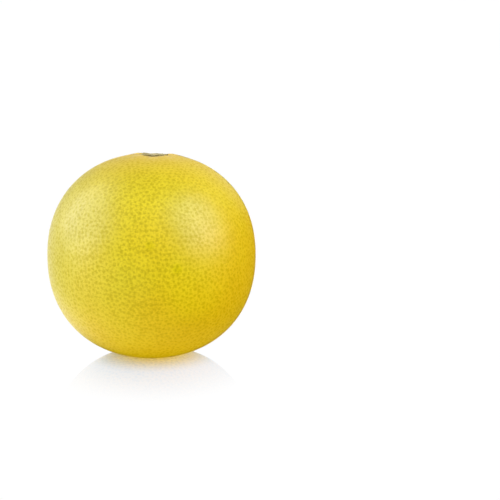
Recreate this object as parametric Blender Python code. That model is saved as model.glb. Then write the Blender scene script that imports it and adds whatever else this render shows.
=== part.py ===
"""A whole round lemon as picked: one closed fruit standing on the flattened end of its peel, with the dry
calyx that its stalk left in the hollow on top. Metres, +Z up, the origin in the middle of the flat spot."""

import math

import bmesh
import bpy
from mathutils import Matrix, Vector

MM = 0.001

# The fruit's body: a full, slightly squared ball, a little wider than it is tall
WIDTH = 64.0 * MM
DEPTH = 63.4 * MM
MIDDLE_HEIGHT = 31.15 * MM  # of the widest ring, above the surface that the fruit stands on
CROWN_REACH = 30.65 * MM  # from the widest ring up to the stem end
BASE_REACH = 31.65 * MM  # down to where the other end would be, were it not flattened
CROWN_FULLNESS = 2.17  # 2 is a plain ellipse, and more is squarer
BASE_FULLNESS = 2.2
SWELL = 0.14 * MM  # broad unevenness of a fruit that grew

# The stem end points a little back and to the right
STEM_LEAN_BACK = math.radians(10.5)
STEM_LEAN_RIGHT = math.radians(1.6)

# The hollow that the calyx sits in, the low collar round it, and the furrows that run out over the collar
HOLLOW_DEPTH = 1.35 * MM
HOLLOW_RADIUS = 4.8 * MM
COLLAR_HEIGHT = 0.16 * MM
COLLAR_RADIUS = 6.4 * MM
COLLAR_WIDTH = 1.7 * MM
FURROW_DEPTH = 0.2 * MM
FURROW_REACH = 6.6 * MM
FURROWS = 7

# The flower end lies nearly opposite, as a pit with the dry stump of the style in it
FLOWER_LEAN_FRONT = math.radians(7.5)
FLOWER_LEAN_LEFT = math.radians(1.5)
PIT_DEPTH = 1.5 * MM
PIT_RADIUS = 1.9 * MM
STUMP_HEIGHT = 0.6 * MM
STUMP_RADIUS = 0.8 * MM

# The calyx: five sepals grown into one button, round the scar of the stalk
SEPALS = 5
SEPAL_TIP = 4.25 * MM  # from the middle of the button
SEPAL_NOTCH = 3.1 * MM
SEPAL_UNEVENNESS = 0.05  # share of a sepal's length
SEPAL_THICKNESS = 0.65 * MM
SCAR_RADIUS = 1.35 * MM
SCAR_STEP = 0.3 * MM  # how far the stalk's scar stands above the sepals
SCAR_EDGE = 0.5 * MM
CALYX_GAP = 0.3 * MM  # clearance to the peel below it

# Facets: rings crowd towards both ends, where the small forms are
FRUIT_SEGMENTS = 72
FRUIT_RINGS = 52
CROWDING = 0.72  # 0 spaces the rings evenly, and near 1 crowds them into the ends
CALYX_SEGMENTS = 60
CALYX_RINGS = 16

MIDDLE = Vector((0.0, 0.0, MIDDLE_HEIGHT))
FLOWER_END = Vector((-math.tan(FLOWER_LEAN_LEFT), -math.tan(FLOWER_LEAN_FRONT), -1.0)).normalized()


def clear_scene():
    for old in list(bpy.data.objects):
        bpy.data.objects.remove(old, do_unlink=True)


def new_collection(name):
    collection = bpy.data.collections.new(name)
    bpy.context.scene.collection.children.link(collection)
    return collection


def new_material(name, colour, roughness):
    material = bpy.data.materials.new(name)
    material.use_nodes = True
    shader = material.node_tree.nodes["Principled BSDF"]
    shader.inputs["Base Color"].default_value = (*colour, 1.0)
    shader.inputs["Roughness"].default_value = roughness
    shader.inputs["Metallic"].default_value = 0.0
    return material


def new_object(name, shape, collection, material=None):
    mesh = bpy.data.meshes.new(name)
    shape.to_mesh(mesh)
    shape.free()
    made = bpy.data.objects.new(name, mesh)
    collection.objects.link(made)
    if material:
        mesh.materials.append(material)
    return made


def on_the_fruit(polar, around):
    """The unit direction at this angle from the stem end, and this angle round it.

    The lean fades out on the way down, so that the rings of facets lie level round the flat spot."""
    plain = Vector((math.sin(polar) * math.cos(around), math.sin(polar) * math.sin(around), math.cos(polar)))
    share = (1 + math.cos(polar)) / 2
    back = Matrix.Rotation(-STEM_LEAN_BACK * share, 3, "X")
    right = Matrix.Rotation(STEM_LEAN_RIGHT * share, 3, "Y")
    return right @ back @ plain


def body_reach(direction):
    """How far the body reaches from its middle: a superellipsoid, with its own fullness above and below."""
    upper = direction.z > 0
    fullness = CROWN_FULLNESS if upper else BASE_FULLNESS
    reach = CROWN_REACH if upper else BASE_REACH
    across = math.hypot(direction.x / (WIDTH / 2), direction.y / (DEPTH / 2))
    along = abs(direction.z) / reach
    return (across**fullness + along**fullness) ** (-1 / fullness)


def swell(direction):
    """Three broad waves over the peel, which no ball that grew is without."""
    wave = math.sin(2.6 * direction.x + 1.9 * direction.z + 0.7)
    wave += math.sin(3.1 * direction.y - 2.2 * direction.x + 2.1)
    wave += math.sin(3.7 * direction.z + 1.6 * direction.y + 4.0)
    return SWELL * wave / 3


def stem_relief(distance, around):
    """The hollow and its collar, with furrows of unlike depth running out of it."""
    hollow = -HOLLOW_DEPTH * math.exp(-((distance / HOLLOW_RADIUS) ** 2))
    collar = COLLAR_HEIGHT * math.exp(-(((distance - COLLAR_RADIUS) / COLLAR_WIDTH) ** 2))
    spread = (distance / FURROW_REACH) ** 2
    furrow = 0.6 * math.cos(FURROWS * around + 2.2) + 0.4 * math.cos((FURROWS - 3) * around + 3.2)
    return hollow + collar + FURROW_DEPTH * furrow * spread * math.exp(1 - spread)


def flower_relief(direction):
    """The pit at the flower end, with the style's stump standing in it."""
    distance = BASE_REACH * direction.angle(FLOWER_END)
    pit = -PIT_DEPTH * math.exp(-((distance / PIT_RADIUS) ** 2))
    return pit + STUMP_HEIGHT * math.exp(-((distance / STUMP_RADIUS) ** 2))


def peel_point(polar, around):
    direction = on_the_fruit(polar, around)
    relief = swell(direction)
    relief += stem_relief(polar * CROWN_REACH, around)
    relief += flower_relief(direction)
    return MIDDLE + direction * (body_reach(direction) + relief)


def angles_of(vertex):
    """The polar angle and the angle round the axis of a point on a ball at the origin."""
    unit = vertex.co.normalized()
    return math.acos(max(-1.0, min(1.0, unit.z))), math.atan2(unit.y, unit.x)


def make_fruit(collection, material, surface):
    shape = bmesh.new()
    bmesh.ops.create_uvsphere(shape, u_segments=FRUIT_SEGMENTS, v_segments=FRUIT_RINGS, radius=1.0)
    for vertex in shape.verts:
        polar, around = angles_of(vertex)
        crowded = polar - CROWDING / 2 * math.sin(2 * polar)
        vertex.co = peel_point(crowded, around)
    fruit = new_object("fruit", shape, collection, material)
    cut = fruit.modifiers.new("flat_spot", "BOOLEAN")
    cut.operation = "DIFFERENCE"
    cut.solver = "EXACT"
    cut.object = surface
    fruit.data.shade_smooth()
    return fruit


def make_surface(collection):
    """What the fruit stands on, as a cutter: it takes off all that would hang below the flat spot."""
    size = 2 * WIDTH
    shape = bmesh.new()
    bmesh.ops.create_cube(shape, size=size, matrix=Matrix.Translation((0.0, 0.0, -size / 2)))
    surface = new_object("standing_surface", shape, collection)
    surface.hide_render = True
    surface.display_type = "WIRE"
    return surface


def sepal_reach(around):
    """The button's outline: five rounded points, no two quite alike."""
    point = (0.5 + 0.5 * math.cos(SEPALS * around + 0.9)) ** 0.8
    uneven = 1 + SEPAL_UNEVENNESS * math.cos(2 * around + 1.0)
    return (SEPAL_NOTCH + (SEPAL_TIP - SEPAL_NOTCH) * point) * uneven


def button_thickness(distance):
    """Sepals of even thickness, and the scar of the stalk as a low step in their middle."""
    rise = max(0.0, min(1.0, (SCAR_RADIUS + SCAR_EDGE / 2 - distance) / SCAR_EDGE))
    return SEPAL_THICKNESS + SCAR_STEP * rise * rise * (3 - 2 * rise)


def make_calyx(collection, material):
    shape = bmesh.new()
    bmesh.ops.create_uvsphere(shape, u_segments=CALYX_SEGMENTS, v_segments=CALYX_RINGS, radius=1.0)
    for vertex in shape.verts:
        polar, around = angles_of(vertex)
        distance = sepal_reach(around) * math.sin(polar)
        stand_off = CALYX_GAP + button_thickness(distance) * (1 + math.cos(polar)) / 2
        below = distance / CROWN_REACH
        vertex.co = peel_point(below, around) + on_the_fruit(below, around) * stand_off
    calyx = new_object("calyx", shape, collection, material)
    calyx.data.shade_smooth()
    return calyx


def main():
    clear_scene()
    parts = new_collection("lemon")
    cutters = new_collection("cutters")
    peel = new_material("peel", (0.78, 0.60, 0.03), 0.42)
    dry_stalk = new_material("dry_stalk", (0.20, 0.16, 0.07), 0.85)
    surface = make_surface(cutters)
    make_fruit(parts, peel, surface)
    make_calyx(parts, dry_stalk)


main()
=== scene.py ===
# %% [markdown]
# # A whole lemon, dressed over its solid
#
# The solid that this lesson starts from has the lemon's true size, its flat spot, the hollow at its stem
# end and the pit at its flower end. What it lacks is a skin: on a real lemon the peel is set all over with
# small oil glands, it shines softly through its wax, and the dry calyx is a wrinkled, woody little star.
# This file makes those, piece by piece, in the solid's own place, so that nothing has to be fitted
# afterwards.

import math

import bpy
from mathutils import Matrix, Vector


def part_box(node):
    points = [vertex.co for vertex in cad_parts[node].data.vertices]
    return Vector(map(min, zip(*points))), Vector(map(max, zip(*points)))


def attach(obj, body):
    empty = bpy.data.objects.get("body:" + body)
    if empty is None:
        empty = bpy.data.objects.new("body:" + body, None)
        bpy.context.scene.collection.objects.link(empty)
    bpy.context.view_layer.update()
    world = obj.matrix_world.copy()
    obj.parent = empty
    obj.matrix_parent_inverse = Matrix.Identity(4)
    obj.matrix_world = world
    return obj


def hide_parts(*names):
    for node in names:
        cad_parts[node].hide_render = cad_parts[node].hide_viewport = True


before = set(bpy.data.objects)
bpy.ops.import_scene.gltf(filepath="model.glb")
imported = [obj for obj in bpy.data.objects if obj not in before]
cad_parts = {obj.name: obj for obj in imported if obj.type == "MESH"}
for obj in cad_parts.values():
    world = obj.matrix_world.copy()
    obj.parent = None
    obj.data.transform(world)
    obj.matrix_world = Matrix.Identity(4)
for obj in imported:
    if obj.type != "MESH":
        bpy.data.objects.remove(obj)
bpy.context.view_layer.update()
print("nodes:", ", ".join(sorted(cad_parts)))

# %% [markdown]
# ## Measure the solid first
#
# Every place below follows from the frame. The calyx tells where the stem end is, and its furthest point
# tells which way one of its sepals points. The few points of the fruit's underside that lie above the
# ground, close to the middle, are the walls of the flower pit.

# %% Find the middle, the stem end and the flower end
MM = 0.001
fruit_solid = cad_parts["fruit"]
calyx_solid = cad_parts["calyx"]
fruit_low, fruit_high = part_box("fruit")


def in_mm(lengths):
    return " x ".join(f"{length / MM:.2f}" for length in lengths) + " mm"


def middle_of(points):
    return sum(points, Vector()) / len(points)


widest = max((vertex.co for vertex in fruit_solid.data.vertices), key=lambda point: point.x)
core = Vector((0.0, 0.0, widest.z))
button = middle_of([vertex.co for vertex in calyx_solid.data.vertices])
stem_axis = (button - core).normalized()
stem_right = (Vector((1.0, 0.0, 0.0)) - stem_axis.x * stem_axis).normalized()
stem_back = stem_axis.cross(stem_right)


def from_stem_axis(point):
    """A point as its distance from the stem's axis and its angle round it."""
    side = (point - button).dot(stem_right)
    back = (point - button).dot(stem_back)
    return math.hypot(side, back), math.atan2(back, side)


SEPALS = 5
sepal_reach, sepal_angle = max(from_stem_axis(vertex.co) for vertex in calyx_solid.data.vertices)

PIT_SEARCH = 6.2 * MM  # round the middle of the flat spot
OFF_THE_GROUND = 0.05 * MM
pit_walls = [
    vertex.co
    for vertex in fruit_solid.data.vertices
    if math.hypot(vertex.co.x, vertex.co.y) < PIT_SEARCH and OFF_THE_GROUND < vertex.co.z < core.z / 2
]
pit = middle_of(pit_walls)
print("core at", in_mm(core))
print("calyx at", in_mm(button), "reaching", in_mm([sepal_reach]))
print("flower pit at", in_mm(pit))

# %% [markdown]
# ## Camera
#
# The photograph was taken from a little above, with a long lens: the fruit hardly tapers. The lens and the
# distance go together, so that the picture is as wide as the real one at the fruit.

# %% Place the camera
LENS = 200.0
SENSOR = 36.0
CAMERA_DISTANCE = 0.85
CAMERA_HEIGHT_ANGLE = math.radians(14.0)
AIM = Vector((0.03015, 0.0, 0.0323))  # the middle of the picture, near the fruit's right edge

camera_data = bpy.data.cameras.new("camera")
camera_data.lens = LENS
camera_data.sensor_width = SENSOR
camera = bpy.data.objects.new("camera", camera_data)
bpy.context.scene.collection.objects.link(camera)
towards_camera = Vector((0.0, -math.cos(CAMERA_HEIGHT_ANGLE), math.sin(CAMERA_HEIGHT_ANGLE)))
camera.location = AIM + CAMERA_DISTANCE * towards_camera
camera.rotation_euler = (math.pi / 2 - CAMERA_HEIGHT_ANGLE, 0.0, 0.0)
bpy.context.scene.camera = camera
print("the picture's width at the fruit is", in_mm([CAMERA_DISTANCE * SENSOR / LENS]))

# %% [markdown]
# ## A small language for nodes
#
# Patterns are easier to read as sums than as boxes and wires. `Wire` stands for one output of a node, and
# Python's own operators add the Math nodes. Every other node comes from `node`, which takes the node's
# type, its settings, and what goes into its sockets. Shader trees and geometry trees can both be written
# this way, so one formula can first move the points of a mesh and later colour them.

# %% Wrap a node's output


class Wire:
    """One output of a node, in a shader tree or in a geometry tree."""

    def __init__(self, tree, socket):
        self.tree = tree
        self.socket = socket

    def maths(self, operation, first, second=0.0):
        return node(self.tree, "ShaderNodeMath", {"operation": operation}, {0: first, 1: second})

    def __add__(self, other):
        return self.maths("ADD", self, other)

    def __radd__(self, other):
        return self.maths("ADD", other, self)

    def __sub__(self, other):
        return self.maths("SUBTRACT", self, other)

    def __rsub__(self, other):
        return self.maths("SUBTRACT", other, self)

    def __mul__(self, other):
        return self.maths("MULTIPLY", self, other)

    def __rmul__(self, other):
        return self.maths("MULTIPLY", other, self)

    def __truediv__(self, other):
        return self.maths("DIVIDE", self, other)

    def absolute(self):
        return self.maths("ABSOLUTE", self)

    def cosine(self):
        return self.maths("COSINE", self)

    def sine(self):
        return self.maths("SINE", self)


def node(tree, kind, settings=None, sockets=None, output=0):
    made = tree.nodes.new(kind)
    for name, value in (settings or {}).items():
        setattr(made, name, value)
    for name, value in (sockets or {}).items():
        if isinstance(value, Wire):
            tree.links.new(value.socket, made.inputs[name])
        else:
            made.inputs[name].default_value = value
    return Wire(tree, made.outputs[output])


print("numbers can be wired")

# %% [markdown]
# Two steps come back in every pattern. An ease goes softly from one value to another, where a colour ramp
# would do the same but hide its numbers. A noise gives cloudy values, and takes the size of its lumps in
# metres, so that it can be set beside the sizes of real things. Places are measured as one would with a
# rule: from a point, along a direction, or round the stem's axis. Coordinates that turn with the angle but
# change slowly outwards draw a noise out into fine lines, which serve for creases, streaks and fibres.

# %% Name the usual steps and measures


def ease(wire, start, end, low=0.0, high=1.0):
    """A soft step: low where the wire is at start, high where it is at end."""
    settings = {"interpolation_type": "SMOOTHSTEP"}
    sockets = {"Value": wire, "From Min": start, "From Max": end, "To Min": low, "To Max": high}
    return node(wire.tree, "ShaderNodeMapRange", settings, sockets)


def noise(place, size, detail=2.0):
    """Cloudy values round 0.5, with lumps of about this size in metres."""
    sockets = {"Vector": place, "Scale": 1.0 / size, "Detail": detail, "Roughness": 0.5}
    return node(place.tree, "ShaderNodeTexNoise", None, sockets)


def vector_maths(operation, first, second, output=0):
    settings = {"operation": operation}
    return node(first.tree, "ShaderNodeVectorMath", settings, {0: first, 1: second}, output)


def by_distance(place, middle, reach, low=0.0, high=1.0):
    """A soft step between two distances from the middle: low at the first, high at the second."""
    distance = vector_maths("DISTANCE", place, tuple(middle), output="Value")
    return ease(distance, *reach, low, high)


def along(place, start, way):
    """How far a place lies from the start, measured this way."""
    from_start = vector_maths("SUBTRACT", place, tuple(start))
    return vector_maths("DOT_PRODUCT", from_start, tuple(way), output="Value")


def across_back_up(place):
    """The X, Y and Z of a place, as three wires."""
    split = node(place.tree, "ShaderNodeSeparateXYZ", None, {0: place})
    return [Wire(place.tree, socket) for socket in split.socket.node.outputs]


def round_the_stem(place):
    """The distance from the stem's axis and the angle round it, as wires."""
    side = along(place, button, stem_right)
    back = along(place, button, stem_back)
    far = side.maths("SQRT", side * side + back * back)
    return far, side.maths("ARCTAN2", back, side)


def drawn_out(angle, far, turns, stretch):
    """Coordinates in which a noise becomes lines that run out from the stem."""
    sockets = {"X": angle.cosine() * turns, "Y": angle.sine() * turns, "Z": far * stretch}
    return node(angle.tree, "ShaderNodeCombineXYZ", None, sockets)


print("node language ready")

# %% [markdown]
# ## The skin's mesh
#
# The skin has to carry thousands of little pits, so it needs many small faces of one size, with no pole
# where they crowd. A cube that is subdivided and pulled to a ball has that. It is then wrapped on the
# solid, and smoothed, so that the solid's flat facets don't show in the shine. Where the solid has fine
# forms, at the stem end and round the flower pit, the smoothing is held off by a vertex group.

# %% Tools for working by hand


def only(piece):
    bpy.ops.object.select_all(action="DESELECT")
    piece.select_set(True)
    bpy.context.view_layer.objects.active = piece


def apply(piece, modifier):
    only(piece)
    bpy.ops.object.modifier_apply(modifier=modifier.name)


def subdivide(piece, levels):
    finer = piece.modifiers.new("finer", "SUBSURF")
    finer.levels = levels
    finer.render_levels = levels
    apply(piece, finer)


def size_of(piece):
    low = Vector(map(min, zip(*(vertex.co for vertex in piece.data.vertices))))
    high = Vector(map(max, zip(*(vertex.co for vertex in piece.data.vertices))))
    return f"{piece.name}: {len(piece.data.polygons)} faces, {in_mm(high - low)}, top at {in_mm([high.z])}"


print("tools ready")

# %% Blow up a cube into an even ball
CUBE_SIZE = 1.2  # of the fruit's width
BALL_LEVELS = 6
bpy.ops.object.select_all(action="DESELECT")
bpy.ops.mesh.primitive_cube_add(size=CUBE_SIZE * (fruit_high.x - fruit_low.x), location=core)
skin = bpy.context.object
skin.name = "peel_skin"
bpy.ops.object.transform_apply(location=True, rotation=True, scale=True)
subdivide(skin, BALL_LEVELS)
bpy.ops.object.mode_set(mode="EDIT")
bpy.ops.mesh.select_all(action="SELECT")
bpy.ops.transform.tosphere(value=1.0)
bpy.ops.object.mode_set(mode="OBJECT")
print(size_of(skin))

# %% Wrap it on the solid
wrap = skin.modifiers.new("wrap", "SHRINKWRAP")
wrap.target = fruit_solid
wrap.wrap_method = "PROJECT"
wrap.use_negative_direction = True
wrap.use_positive_direction = True
apply(skin, wrap)
print(size_of(skin))

# %% Smooth away the facets, but not the fine forms
STEM_FORMS = 7.0 * MM
STEM_FADE = 5.0 * MM
PIT_FORMS = 2.2 * MM
PIT_FADE = 1.5 * MM
SMOOTHING = 0.5
SMOOTHING_ROUNDS = 12
LAST_LEVELS = 1
open_peel = skin.vertex_groups.new(name="open_peel")
for vertex in skin.data.vertices:
    from_stem = ((vertex.co - button).length - STEM_FORMS) / STEM_FADE
    from_pit = ((vertex.co - pit).length - PIT_FORMS) / PIT_FADE
    open_peel.add([vertex.index], max(0.0, min(1.0, from_stem, from_pit)), "REPLACE")
smooth = skin.modifiers.new("smooth", "SMOOTH")
smooth.factor = SMOOTHING
smooth.iterations = SMOOTHING_ROUNDS
smooth.vertex_group = open_peel.name
apply(skin, smooth)
subdivide(skin, LAST_LEVELS)
print(size_of(skin))

# %% [markdown]
# ## Oil glands
#
# A lemon's oil glands are never in rows, and never touch: each keeps its distance from the next. Points
# that are scattered with a least distance between them have just that pattern. A geometry tree scatters
# them over the skin, keeps the distance to the nearest one as an attribute, and sinks a pit at each. The
# shader later reads the same attribute, so the dark spots lie exactly in the pits. Close round the calyx
# the peel is drawn together instead, in fine creases that run out from under it.

# %% Tools for geometry trees


def new_tree(name):
    tree = bpy.data.node_groups.new(name, "GeometryNodeTree")
    tree.interface.new_socket("Geometry", in_out="INPUT", socket_type="NodeSocketGeometry")
    tree.interface.new_socket("Geometry", in_out="OUTPUT", socket_type="NodeSocketGeometry")
    return tree, node(tree, "NodeGroupInput")


def keep(geometry, name, value):
    """Store a value at every point of the mesh, under this name."""
    settings = {"data_type": "FLOAT", "domain": "POINT"}
    sockets = {"Geometry": geometry, "Name": name, "Value": value}
    return node(geometry.tree, "GeometryNodeStoreNamedAttribute", settings, sockets)


def push(geometry, way, height):
    """Move every point of the mesh this way, by its own height."""
    scale = {"operation": "SCALE"}
    offset = node(geometry.tree, "ShaderNodeVectorMath", scale, {0: way, "Scale": height})
    sockets = {"Geometry": geometry, "Offset": offset}
    return node(geometry.tree, "GeometryNodeSetPosition", None, sockets)


def finish_tree(geometry):
    output = geometry.tree.nodes.new("NodeGroupOutput")
    geometry.tree.links.new(geometry.socket, output.inputs[0])


def run_tree(piece, tree):
    grower = piece.modifiers.new(tree.name, "NODES")
    grower.node_group = tree
    apply(piece, grower)


print("trees can be grown")

# %% Scatter the glands
GLAND_SPACING = 1.3 * MM
GLAND_TRIES = 1.0e7  # candidate points on a square metre
GLAND_RADIUS = 0.5 * MM
GLAND_SIZES = (0.6, 1.2)  # the smallest and the largest, against that radius
GLAND_SEED = 11
GLANDLESS = (6.0 * MM, 15.0 * MM)  # from no glands at all, near the stem, to all of them


def reach_of_glands(surface, place):
    """The distance to the nearest gland, as a share of that gland's own radius."""
    tree = surface.tree
    smallest, largest = GLAND_SIZES
    settings = {"distribute_method": "POISSON"}
    scatter = {
        "Mesh": surface,
        "Distance Min": GLAND_SPACING,
        "Density Max": GLAND_TRIES,
        "Seed": GLAND_SEED,
    }
    glands = node(tree, "GeometryNodeDistributePointsOnFaces", settings, scatter)
    nearest = node(tree, "GeometryNodeProximity", {"target_element": "POINTS"}, {0: glands}, "Distance")
    index = node(tree, "GeometryNodeSampleNearest", {"domain": "POINT"}, {0: glands, 1: place})
    settings = {"data_type": "FLOAT"}
    sizes = node(tree, "FunctionNodeRandomValue", settings, {2: smallest, 3: largest}, output=1)
    settings = {"data_type": "FLOAT", "domain": "POINT"}
    size = node(tree, "GeometryNodeSampleIndex", settings, {0: glands, 1: sizes, 2: index})
    return nearest / (size * GLAND_RADIUS)


print("glands are apart by at least", in_mm([GLAND_SPACING]))

# %% Sink the pits and draw the creases
PIT_DEPTH = 0.06 * MM
PIT_EDGE = 1.3  # in radii of the gland
CREASE_DEPTH = 0.16 * MM
CREASE_START = (2.5 * MM, 4.5 * MM)
CREASE_REACH = (4.0 * MM, 9.0 * MM)
CREASE_TURNS = 5.0
CREASE_STRETCH = 120.0
STEM_SIDE = (0.0, 10.0 * MM)  # from the core towards the stem, so that the base gets no creases

peel_tree, peel_in = new_tree("oil_glands")
peel_place = node(peel_tree, "GeometryNodeInputPosition")
peel_normal = node(peel_tree, "GeometryNodeInputNormal")
stem_far, stem_angle = round_the_stem(peel_place)
crease = noise(drawn_out(stem_angle, stem_far, CREASE_TURNS, CREASE_STRETCH), 1.0)
in_creases = ease(stem_far, *CREASE_REACH, low=1.0, high=0.0) * ease(stem_far, *CREASE_START)
in_creases = in_creases * ease(along(peel_place, core, stem_axis), *STEM_SIDE)
gland_reach = reach_of_glands(peel_in, peel_place)
in_glands = ease(gland_reach, PIT_EDGE, 0.0) * by_distance(peel_place, button, GLANDLESS)
peel_height = in_creases * (crease - 0.5) * (2.0 * CREASE_DEPTH) - in_glands * PIT_DEPTH
finish_tree(push(keep(peel_in, "gland", gland_reach), peel_normal, peel_height))
run_tree(skin, peel_tree)
bpy.ops.object.shade_smooth()
print(size_of(skin))
print("attributes:", ", ".join(attribute.name for attribute in skin.data.attributes))

# %% [markdown]
# ## The dry calyx
#
# The button on top is five sepals grown together, dried to something like bark, round the scar where the
# stalk broke off. The solid has its outline and its thickness. A copy of it is joined up, smoothed and made
# finer, and then a second tree works on it: a ridge along each sepal, a fold between each two, fibres that
# run out from the middle, and round the scar a ring of small dots, which are the cut ends of the stalk's
# vessels. The dried button is thinner than its solid, and the tips of its sepals press into the peel.

# %% Copy the button and make it finer
DOUBLES = 0.001 * MM
CALYX_LEVELS = 2
calyx = calyx_solid.copy()
calyx.data = calyx_solid.data.copy()
calyx.name = "calyx_star"
bpy.context.scene.collection.objects.link(calyx)
only(calyx)
bpy.ops.object.mode_set(mode="EDIT")
bpy.ops.mesh.select_all(action="SELECT")
bpy.ops.mesh.remove_doubles(threshold=DOUBLES)
bpy.ops.mesh.tris_convert_to_quads()
bpy.ops.object.mode_set(mode="OBJECT")
subdivide(calyx, CALYX_LEVELS)
print(size_of(calyx))

# %% Wrinkle it
RIDGE_HEIGHT = 0.08 * MM
FIBRE_HEIGHT = 0.12 * MM
FIBRE_TURNS = 9.0
FIBRE_STRETCH = 300.0
SCAR_RADIUS = 1.35 * MM
SCAR_GROOVE = 0.10 * MM
SCAR_GROOVE_WIDTH = 0.22 * MM
SCAR_HOLLOW = 0.12 * MM
VESSELS = 11
VESSEL_RING = 0.95 * MM
VESSEL_HEIGHT = 0.07 * MM
VESSEL_WIDTH = 0.16 * MM
VESSEL_EDGE = (0.2, 0.9)
UPPER_SIDE = (0.0, 0.5)  # by how far a face looks up along the stem's axis
SETTLE = 0.03 * MM  # the whole button, down towards the peel
THINNING = 0.25 * MM
TIP_DROP = 0.2 * MM
TIP_START = 2.4 * MM  # from the stem's axis


def bell(wire, middle, width):
    """1 where the wire is at the middle, fading to 0 at one width to either side."""
    return ease(((wire - middle) / width).absolute(), 1.0, 0.0)


calyx_tree, calyx_in = new_tree("dry_button")
calyx_place = node(calyx_tree, "GeometryNodeInputPosition")
calyx_normal = node(calyx_tree, "GeometryNodeInputNormal")
far, angle = round_the_stem(calyx_place)
looking_up = vector_maths("DOT_PRODUCT", calyx_normal, tuple(stem_axis), output="Value")
on_sepals = ease(far, SCAR_RADIUS, 2.0 * SCAR_RADIUS)
ridge = ((angle - sepal_angle) * SEPALS).cosine() * on_sepals * RIDGE_HEIGHT
fibre = noise(drawn_out(angle, far, FIBRE_TURNS, FIBRE_STRETCH), 1.0, detail=3.0)
fibre_relief = (fibre - 0.5) * FIBRE_HEIGHT * ease(far, 0.0, SCAR_RADIUS)
groove = bell(far, SCAR_RADIUS, SCAR_GROOVE_WIDTH) * SCAR_GROOVE
in_vessels = bell(far, VESSEL_RING, VESSEL_WIDTH) * ease((angle * VESSELS).cosine(), *VESSEL_EDGE)
hollow = SCAR_HOLLOW * ease(far, VESSEL_RING, 0.0)
relief = ridge + fibre_relief - groove + in_vessels * VESSEL_HEIGHT - hollow - THINNING
tip_drop = ease(far, TIP_START, sepal_reach) * TIP_DROP
calyx_height = ease(looking_up, *UPPER_SIDE) * relief - SETTLE - tip_drop
finish_tree(push(keep(calyx_in, "fibre", fibre), tuple(stem_axis), calyx_height))
run_tree(calyx, calyx_tree)
bpy.ops.object.shade_smooth()
print(size_of(calyx))

# %% [markdown]
# ## Tools for finishes
#
# A finish starts as one Principled shader, its output and the place of each point. Colours are mixed by a
# share from 0 to 1: a blend goes from one colour to another, and a tint multiplies a colour, as a thin
# layer of dye would. What a geometry tree kept on the mesh is read back under its name.

# %% Mix colours and feed a shader
FIRST_COLOUR = 6  # where a Mix node has its two colours and what comes out of them
SECOND_COLOUR = 7
MIXED_COLOUR = 2


def mix(share, settings, first, second):
    colours = [value if isinstance(value, Wire) else (*value, 1.0) for value in (first, second)]
    sockets = {0: share, FIRST_COLOUR: colours[0], SECOND_COLOUR: colours[1]}
    settings = {"data_type": "RGBA", "clamp_factor": True, **settings}
    return node(share.tree, "ShaderNodeMix", settings, sockets, MIXED_COLOUR)


def blend(share, first, second):
    """A colour between two colours: the first where the share is 0, the second where it is 1."""
    return mix(share, {}, first, second)


def tint(share, colour, factors):
    """The colour, multiplied by these factors where the share is 1."""
    return mix(share, {"blend_type": "MULTIPLY"}, colour, factors)


def new_material(name):
    material = bpy.data.materials.new(name)
    material.use_nodes = True
    tree = material.node_tree
    tree.nodes.clear()
    shader = tree.nodes.new("ShaderNodeBsdfPrincipled")
    output = tree.nodes.new("ShaderNodeOutputMaterial")
    tree.links.new(shader.outputs[0], output.inputs["Surface"])
    place = node(tree, "ShaderNodeTexCoord", output="Object")
    return material, shader, place


def feed(shader, socket, wire):
    wire.tree.links.new(wire.socket, shader.inputs[socket])


def kept(tree, name):
    """What a geometry tree has kept on the mesh under this name."""
    return node(tree, "ShaderNodeAttribute", {"attribute_name": name}, output="Fac")


def bumped(height, depth, strength):
    sockets = {"Strength": strength, "Distance": depth, "Height": height}
    return node(height.tree, "ShaderNodeBump", None, sockets)


print("colours can be mixed")

# %% [markdown]
# ## The peel's yellow
#
# Ripe peel isn't one yellow. It is clear and slightly green towards the left and the upper side, more
# golden towards the right and the bottom, and golden again close round the stem end. The golden run towards
# the right and the bottom is partly the peel's own and partly painted warm bounce light. An even run from
# one to the other would look painted, so a large, soft noise shifts the border between them. Over it lie a
# few broad patches of painted light and painted shade: a little lighter in the middle and low on the two
# cheeks, a little deeper where the two highlights fall. Each is a soft round spot, which is simple and
# bakes well.

# %% Lay the broad yellow
LIME = (0.73, 0.61, 0.003)  # towards the left and the top
GOLDEN = (0.76, 0.49, 0.002)  # towards the right and the bottom
# the run towards the right and the bottom is partly the peel's own gold and partly painted warm bounce
# light
GOLDEN_AND_BOUNCE_WAY = Vector((0.65, 0.10, -0.75))
GOLDEN_AND_BOUNCE_REACH = 24.0 * MM
CROWN_REACH = (32.0 * MM, 6.0 * MM)  # from the calyx, where the peel is golden too
CROWN_SHARE = 0.7
CLOUD_SIZE = 14.0 * MM
CLOUD_SHIFT = 20.0 * MM
LEFT_CHEEK = Vector((-17.5, -26.3, 33.9)) * MM
RIGHT_CHEEK = Vector((15.1, -27.8, 28.6)) * MM
FULL_PATCH = 0.3  # the share of its reach in which a patch is at its full
# every patch is painted light or painted shade: lighter in the middle and low on the cheeks, deeper where
# the two highlights fall
PAINTED_LIGHT_PATCHES = (  # broad patches of a lighter or a deeper yellow: the middle, the reach and the factors
    (Vector((-2.0, -27.0, 46.0)) * MM, 18.0 * MM, (1.09, 1.05, 1.0)),
    (Vector((12.5, -23.0, 48.0)) * MM, 12.0 * MM, (0.87, 0.89, 1.0)),
    (Vector((-18.0, -20.9, 46.0)) * MM, 14.0 * MM, (0.90, 0.90, 1.0)),
    (Vector((1.0, -31.0, 25.0)) * MM, 19.0 * MM, (1.03, 1.04, 1.0)),
    (LEFT_CHEEK, 13.0 * MM, (1.06, 1.04, 1.0)),
    (RIGHT_CHEEK, 16.0 * MM, (1.07, 1.14, 1.0)),
)


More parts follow.
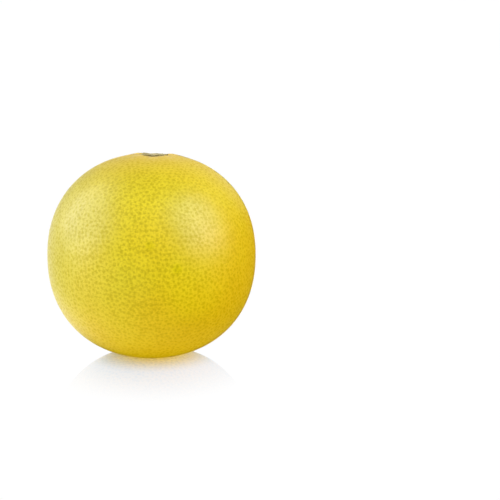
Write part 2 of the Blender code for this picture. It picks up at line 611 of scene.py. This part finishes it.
def broad_yellow(place):
    shift = (noise(place, CLOUD_SIZE, detail=3.0) - 0.5) * CLOUD_SHIFT
    # this golden share is partly the peel's own and partly painted warm bounce light
    golden = ease(along(place, core, GOLDEN_AND_BOUNCE_WAY) + shift, -GOLDEN_AND_BOUNCE_REACH, GOLDEN_AND_BOUNCE_REACH)
    golden = golden + by_distance(place, button, CROWN_REACH, high=CROWN_SHARE)
    yellow = blend(golden, LIME, GOLDEN)
    for middle, reach, factors in PAINTED_LIGHT_PATCHES:
        yellow = tint(by_distance(place, middle, (reach, FULL_PATCH * reach)), yellow, factors)
    return yellow


print("yellow with", len(PAINTED_LIGHT_PATCHES), "patches")

# %% [markdown]
# ## Spots and ridges
#
# Each gland is a drop of oil under the surface, so it looks darker and more olive than the peel between,
# and the ridges between the glands catch more light; their lighter colour is partly their own and partly a
# painted highlight. A plain spot at each gland would look printed. So the distance to the gland is summed
# with a fine noise, and only that sum is turned into dark and bright: some spots run together, and some
# nearly vanish. They show most on one side, and least in two calm patches. Both are painted light: the calm
# patches lie where the two highlights fall and stand in for their sheen, and the spotted side is where no
# highlight falls.

# %% Follow the glands with dark and bright
DARK = (0.855, 0.815, 0.5)
# the bright on the ridges is partly the peel's own paler yellow and partly a painted highlight
BRIGHT = (1.185, 1.215, 1.7)
BETWEEN_GLANDS = (0.2, 1.7)  # in radii of the gland
MOTTLE_SIZE = 0.5 * MM
MOTTLE_SHARE = 3.2  # against 1 for the glands
RIDGES = (1.35, 3.1)  # of that sum
# painted light: the spots show most where no highlight falls
SHEENLESS_SPOTTED_SIDE = Vector((0.0, -29.0, 44.0)) * MM  # where the glands show most
SPOTTED_REACH = (36.0 * MM, 5.0 * MM)
LEAST_SPOTTED = 0.7
# painted sheen: the spots are calmed where the two highlights fall
PAINTED_SHEEN_PATCHES = (Vector((-18.5, -20.5, 45.0)) * MM, Vector((16.0, -23.5, 45.0)) * MM)
PAINTED_SHEEN_REACH = (17.0 * MM, 6.0 * MM)
PAINTED_SHEEN_SHARE = 0.4


def ridges_between(place, gland):
    """From 0 in the glands to 1 on the ridges between them."""
    uneven = ease(gland, *BETWEEN_GLANDS) + noise(place, MOTTLE_SIZE) * MOTTLE_SHARE
    return ease(uneven, *RIDGES)


def how_spotted(place):
    """How much of the dark and bright a place shows, painted weaker under the two highlights for their
    sheen.
    """
    left, right = (by_distance(place, middle, PAINTED_SHEEN_REACH, high=PAINTED_SHEEN_SHARE) for middle in PAINTED_SHEEN_PATCHES)
    showing = by_distance(place, SHEENLESS_SPOTTED_SIDE, SPOTTED_REACH, low=LEAST_SPOTTED) * (1 - left - right)
    return by_distance(place, button, GLANDLESS) * showing


print("spots from", DARK, "to", BRIGHT)

# %% [markdown]
# ## Marks, the stem end and the wax
#
# Two small places are rubbed: there the wax is thin, and the yellow a little deeper. Round the calyx the
# peel has no glands and is nearly cream, in streaks that run out from it. A thin wax lies over everything.
# As a clear coat it gives a soft but clear shine, and because more of it shows on the ridges than in the
# pits, the shine breaks up into grains. The two cheeks shine the most.

# %% Mix the marks and the wax
RUB_MARKS = (Vector((0.6, -30.0, 41.0)) * MM, Vector((8.8, -30.5, 34.1)) * MM)
RUB_REACH = (2.2 * MM, 0.5 * MM)
CREAM_REACH = (14.0 * MM, 5.0 * MM)  # from the calyx
STREAK_TURNS = 4.0
STREAK_STRETCH = 60.0
STREAK_EDGE = (0.35, 0.65)
STREAK_SHARES = (0.5, 0.9)
WAX = 0.28
RIDGE_WAX = 0.8
RUBBED_OFF = 0.7
CHEEK_WAX = 0.4  # how much more shine there is on the two cheeks
WAXY_CHEEKS = ((LEFT_CHEEK, (13.0 * MM, 4.0 * MM)), (RIGHT_CHEEK, (16.0 * MM, 5.0 * MM)))


def rub_marks(place):
    first, second = (by_distance(place, mark, RUB_REACH) for mark in RUB_MARKS)
    return first + second


def cream_streaks(place):
    far, angle = round_the_stem(place)
    streaks = noise(drawn_out(angle, far, STREAK_TURNS, STREAK_STRETCH), 1.0)
    return by_distance(place, button, CREAM_REACH) * ease(streaks, *STREAK_EDGE, *STREAK_SHARES)


def wax_coat(place, ridges, rubbed):
    left, right = (by_distance(place, middle, reach) for middle, reach in WAXY_CHEEKS)
    return (WAX + ridges * RIDGE_WAX) * (1 - rubbed * RUBBED_OFF) * (1 + (left + right) * CHEEK_WAX)


print(len(RUB_MARKS), "rub marks and", len(WAXY_CHEEKS), "waxy cheeks")

# %% [markdown]
# ## Put the peel together
#
# The steps above become one material, layer by layer. The pits are in the mesh, so the bump has only the
# finest grain to add. What is the same all over is set on the shader itself, which keeps it in an export.

# %% Make the peel's material
RUBBED = (0.92, 0.94, 0.4)
CREAM = (0.86, 0.60, 0.10)
BROWN = (0.16, 0.09, 0.03)  # the dry stump of the style, in the flower pit
STYLE_REACH = (1.7 * MM, 0.8 * MM)
PEEL_ROUGHNESS = 0.46
RIDGE_POLISH = 0.12
PEEL_GLOSS = {"Coat Roughness": 0.4, "Coat IOR": 1.38, "Specular IOR Level": 0.15, "IOR": 1.4}
GRAIN_SIZE = 0.4 * MM
GRAIN_DEPTH = 0.05 * MM
GRAIN_STRENGTH = 0.7


def peel_material():
    material, shader, place = new_material("waxy_peel")
    ridges = ridges_between(place, kept(place.tree, "gland"))
    rubbed = rub_marks(place)
    colour = tint(how_spotted(place), broad_yellow(place), blend(ridges, DARK, BRIGHT))
    colour = tint(rubbed, colour, RUBBED)
    colour = blend(cream_streaks(place), colour, CREAM)
    feed(shader, "Base Color", blend(by_distance(place, pit, STYLE_REACH), colour, BROWN))
    feed(shader, "Roughness", PEEL_ROUGHNESS - ridges * RIDGE_POLISH)
    feed(shader, "Coat Weight", wax_coat(place, ridges, rubbed))
    feed(shader, "Normal", bumped(noise(place, GRAIN_SIZE), GRAIN_DEPTH, GRAIN_STRENGTH))
    for socket, value in PEEL_GLOSS.items():
        shader.inputs[socket].default_value = value
    return material


skin.data.materials.clear()
skin.data.materials.append(peel_material())
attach(skin, "root")
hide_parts("fruit")
print(skin.data.materials[0].name, "has", len(skin.data.materials[0].node_tree.nodes), "nodes")

# %% [markdown]
# ## The calyx's finish
#
# Dry calyx is dull olive brown, darker in its furrows and paler in the middle, where the scar shows the
# wood of the stalk. The fibres that moved the mesh also colour it, through the value that the tree kept.

# %% Mix the dry calyx
BARK = (0.50, 0.43, 0.18)
DARK_BARK = (0.29, 0.23, 0.085)
SCAR_WOOD = (0.52, 0.44, 0.22)
BARK_EDGE = (0.35, 0.62)
VESSEL_COLOUR_EDGE = (0.0, 0.9)
SCAR_EDGE = (1.1 * SCAR_RADIUS, 0.9 * SCAR_RADIUS)
BARK_ROUGHNESS = 0.95
FIBRE_POLISH = 0.3
BARK_GRAIN_SIZE = 0.2 * MM
BARK_GRAIN_DEPTH = 0.08 * MM
BARK_GRAIN_STRENGTH = 0.5


def calyx_material():
    material, shader, place = new_material("dry_calyx")
    fibres = kept(place.tree, "fibre")
    far, angle = round_the_stem(place)
    bark = blend(ease(fibres, *BARK_EDGE), DARK_BARK, BARK)
    dots = ease((angle * VESSELS).cosine(), *VESSEL_COLOUR_EDGE)
    wood = blend(bell(far, VESSEL_RING, VESSEL_WIDTH) * dots, SCAR_WOOD, BARK)
    grain = noise(place, BARK_GRAIN_SIZE, detail=3.0)
    feed(shader, "Base Color", blend(ease(far, *SCAR_EDGE), bark, wood))
    feed(shader, "Roughness", BARK_ROUGHNESS - fibres * FIBRE_POLISH)
    feed(shader, "Normal", bumped(grain, BARK_GRAIN_DEPTH, BARK_GRAIN_STRENGTH))
    return material


calyx.data.materials.clear()
calyx.data.materials.append(calyx_material())
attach(calyx, "root")
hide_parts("calyx")
print(calyx.data.materials[0].name, "has", len(calyx.data.materials[0].node_tree.nodes), "nodes")

# %% [markdown]
# ## Floor
#
# The table is glossy and white, so white that it melts into the backdrop, and it mirrors the fruit: clearly
# and in yellow close to where the fruit stands, faintly and nearly without colour further out. One blurred
# mirror couldn't do both, so two sharp ones are mixed in by the distance from the contact. A tinted mirror
# would darken the white as well, so the light that it takes away is added back.
#
# The fruit's own shine must not show a white table all over, which would wash out the yellow. So a Light
# Path node gives every ray that isn't the camera's a glow of its own: bright on the left, and dark on the
# right and under the fruit.

# %% Mix the two mirrors
WHITE = 1.01  # a little past white, so that no noise shows in it
CONTACT = Vector((0.0, 0.0, 0.0))
CLEAR_REACH = (24.0 * MM, 6.0 * MM)
CLEAR_MIRROR = 0.88
CLEAR_TINT = (1.0, 1.0, 1.0)
FAINT_REACH = (60.0 * MM, 10.0 * MM)
FAINT_MIRROR = 0.62
FAINT_TINT = (1.0, 0.64, 0.38)
FAINT_SQUEEZE = (1.5, 1.0, 1.0)  # it reaches less far to the sides


def mirror(tree, colour):
    """A sharp mirror of this colour, with the light added that it takes from the white around."""
    sharp = node(tree, "ShaderNodeBsdfGlossy", None, {"Color": (*colour, 1.0), "Roughness": 0.0})
    lacking = [WHITE * (1 - share) for share in colour]
    added = node(tree, "ShaderNodeEmission", None, {"Color": (*lacking, 1.0)})
    return node(tree, "ShaderNodeAddShader", None, {0: sharp, 1: added})


def mix_shaders(share, first, second):
    return node(share.tree, "ShaderNodeMixShader", None, {0: share, 1: first, 2: second})


def with_mirrors(table, place):
    squeezed = vector_maths("MULTIPLY", place, FAINT_SQUEEZE)
    faint = by_distance(squeezed, CONTACT, FAINT_REACH, high=FAINT_MIRROR)
    clear = by_distance(place, CONTACT, CLEAR_REACH, high=CLEAR_MIRROR)
    table = mix_shaders(faint, table, mirror(place.tree, FAINT_TINT))
    return mix_shaders(clear, table, mirror(place.tree, CLEAR_TINT))


print("the clear mirror ends at", in_mm(CLEAR_REACH[:1]), "and the faint one at", in_mm(FAINT_REACH[:1]))

# %% Lay the floor
FLOOR_SIZE = 6.0
GLOW_AWAY = (12.0 * MM, 36.0 * MM)  # from the contact
GLOW_ACROSS = (40.0 * MM, -50.0 * MM)  # from the right to the left
GLOW_SHARES = (0.03, 1.0)
POOL = Vector((-60.0, -10.0, 0.0)) * MM  # the brightest place, to the left of the fruit
POOL_REACH = (60.0 * MM, 20.0 * MM)
POOL_GLOW = 0.15


def table_glow(place):
    """What the fruit sees of the table, and what its shine mirrors."""
    away = by_distance(place, CONTACT, GLOW_AWAY)
    left = ease(across_back_up(place)[0], *GLOW_ACROSS, *GLOW_SHARES)
    glow = away * (left + by_distance(place, POOL, POOL_REACH, high=POOL_GLOW))
    return node(place.tree, "ShaderNodeEmission", None, {"Color": glow})


def floor_material():
    material, shader, place = new_material("white_table")
    tree = place.tree
    shader.inputs["Base Color"].default_value = (0.0, 0.0, 0.0, 1.0)
    shader.inputs["Specular IOR Level"].default_value = 0.0
    shader.inputs["Emission Color"].default_value = (WHITE, WHITE, WHITE, 1.0)
    shader.inputs["Emission Strength"].default_value = 1.0
    table = with_mirrors(Wire(tree, shader.outputs[0]), place)
    seen = node(tree, "ShaderNodeLightPath", output="Is Camera Ray")
    output = next(item for item in tree.nodes if item.type == "OUTPUT_MATERIAL")
    tree.links.new(mix_shaders(seen, table_glow(place), table).socket, output.inputs["Surface"])
    return material


bpy.ops.object.select_all(action="DESELECT")
bpy.ops.mesh.primitive_plane_add(size=FLOOR_SIZE, location=(0.0, 0.0, 0.0))
floor = bpy.context.object
floor.name = "floor"
floor.data.materials.append(floor_material())
floor.visible_shadow = False
print("floor laid,", FLOOR_SIZE, "m wide")

# %% [markdown]
# ## The room
#
# The room is white for the camera, and also for the table's mirrors, or the fruit's mirror image would
# stand in a grey one. A Light Path node tells both kinds of ray: the camera's own, and the singular rays,
# which only a perfectly sharp mirror sends on. All other rays meet a dimmer room. It lights the peel from
# above and in front, shines along its edges from behind, and is dark on the right.

# %% Light the room
FRONT = (0.4, -0.4)  # by how far a ray runs back
FRONT_GLOW = (0.35, 0.82)
OVERHEAD = (0.1, 0.9)  # by how far a ray runs up
OVERHEAD_GLOW = (0.55, 1.0)
BACKDROP = (0.45, 0.85)
BACKDROP_SHINE = 0.2
BACKDROP_SIDE_SHINE = 0.45
RIGHT_TO_LEFT = (0.65, 0.2)
RIGHT_TO_LEFT_GLOW = (0.03, 1.0)

world = bpy.data.worlds.new("white_room")
bpy.context.scene.world = world
world.use_nodes = True
sky = world.node_tree
ray_across, ray_back, ray_up = across_back_up(node(sky, "ShaderNodeTexCoord", output="Generated"))
overhead = ease(ray_back, *FRONT, *FRONT_GLOW) * ease(ray_up, *OVERHEAD, *OVERHEAD_GLOW)
side_shine = BACKDROP_SHINE + BACKDROP_SIDE_SHINE * ray_across.absolute()
backdrop_shine = ease(ray_back, *BACKDROP) * side_shine
right_to_left = ease(ray_across - ray_up, *RIGHT_TO_LEFT, *RIGHT_TO_LEFT_GLOW)
camera_ray = node(sky, "ShaderNodeLightPath", output="Is Camera Ray")
mirror_ray = node(sky, "ShaderNodeLightPath", output="Is Singular Ray")
seen = camera_ray.maths("MAXIMUM", camera_ray, mirror_ray)
room = seen * WHITE + (1 - seen) * (overhead + backdrop_shine) * right_to_left
sky.links.new(room.socket, sky.nodes["Background"].inputs["Color"])
print("the room has", len(sky.nodes), "nodes")

# %% [markdown]
# ## Lamps
#
# Two soft panels make the two broad highlights. They are left out of the even light, so that they shine on
# the wax but don't wash out the yellow. A third lamp, small and below the floor, stands in for the light
# that a glossy white table throws up at the fruit's underside. It gets through because the floor casts no
# shadow, and because multiple importance sampling is off for it: with it on, part of the light would be
# sampled by rays that meet the floor first.

# %% Hang the panels


def panel(name, centre, faces, edge, size, glow):
    """A soft panel: its centre from the core, what it faces, which way one edge runs, and its radiance."""
    data = bpy.data.lights.new(name, "AREA")
    data.shape = "RECTANGLE"
    data.size, data.size_y = size
    data.energy = glow * math.pi * size[0] * size[1]
    lamp = bpy.data.objects.new(name, data)
    bpy.context.scene.collection.objects.link(lamp)
    back = -Vector(faces).normalized()
    right = Vector(edge) - Vector(edge).dot(back) * back
    right.normalize()
    turned = Matrix((right, back.cross(right), back)).transposed()
    lamp.matrix_world = Matrix.Translation(core + Vector(centre)) @ turned.to_4x4()
    return lamp


left_panel = panel(
    "left_panel",
    centre=(-0.50, 0.01, 0.21),
    faces=(0.780, -0.052, -0.624),
    edge=(-0.276, -0.924, -0.267),
    size=(0.70, 0.56),
    glow=5.0,
)
right_panel = panel(
    "right_panel",
    centre=(0.472, -0.180, 0.350),
    faces=(-0.472, 0.180, -0.350),
    edge=(0.45, 0.9, 0.0),
    size=(0.50, 0.62),
    glow=6.0,
)
for lamp in (left_panel, right_panel):
    lamp.visible_diffuse = False
    print(lamp.name, "is", in_mm([(lamp.location - core).length]), "from the core")

# %% Glow up from below the floor
BELOW_THE_FLOOR = 0.012


def light_only(lamp, pieces):
    lit = bpy.data.collections.new("lit_by_" + lamp.name)
    for piece in pieces:
        lit.objects.link(piece)
    lamp.light_linking.receiver_collection = lit


under_glow = panel(
    "under_glow",
    centre=(0.006, -0.014, -core.z - BELOW_THE_FLOOR),
    faces=(0.0, 0.0, 1.0),
    edge=(1.0, 0.0, 0.0),
    size=(0.05, 0.04),
    glow=0.45,
)
under_glow.visible_glossy = False
under_glow.data.cycles.use_multiple_importance_sampling = False
light_only(under_glow, [skin])
print(under_glow.name, "is below the floor by", in_mm([BELOW_THE_FLOOR]))

# %% [markdown]
# The sides that the room leaves dim are filled in by a sun so wide that it is half of all directions, from
# the right and behind, and by a weak one opposite. About half of its light comes from below the horizon,
# and gets through because the floor casts no shadow. Both light only the diffuse yellow, where a panel
# would have added a highlight of its own.

# %% Fill in evenly from the dim side
FILL_FROM = Vector((0.80, 0.58, -0.15))
FILL_LIGHT = 1.04
COUNTER_FILL_LIGHT = 0.16


def half_sky(name, source, glow):
    """Even light from one half of all directions, which the gloss doesn't show."""
    data = bpy.data.lights.new(name, "SUN")
    data.angle = math.pi
    data.energy = glow * math.pi
    data.cycles.use_multiple_importance_sampling = False
    lamp = bpy.data.objects.new(name, data)
    bpy.context.scene.collection.objects.link(lamp)
    lamp.rotation_euler = source.to_track_quat("Z", "Y").to_euler()
    lamp.visible_glossy = False
    light_only(lamp, [skin, calyx])


half_sky("fill", FILL_FROM, FILL_LIGHT)
half_sky("counter_fill", -FILL_FROM, COUNTER_FILL_LIGHT)
print("fill", FILL_LIGHT, "and counter fill", COUNTER_FILL_LIGHT)

# %% [markdown]
# ## Finish
#
# The colours were chosen for a plain view transform, which the last cell sets.

# %% Set the plain view transform
bpy.context.scene.view_settings.view_transform = "Standard"
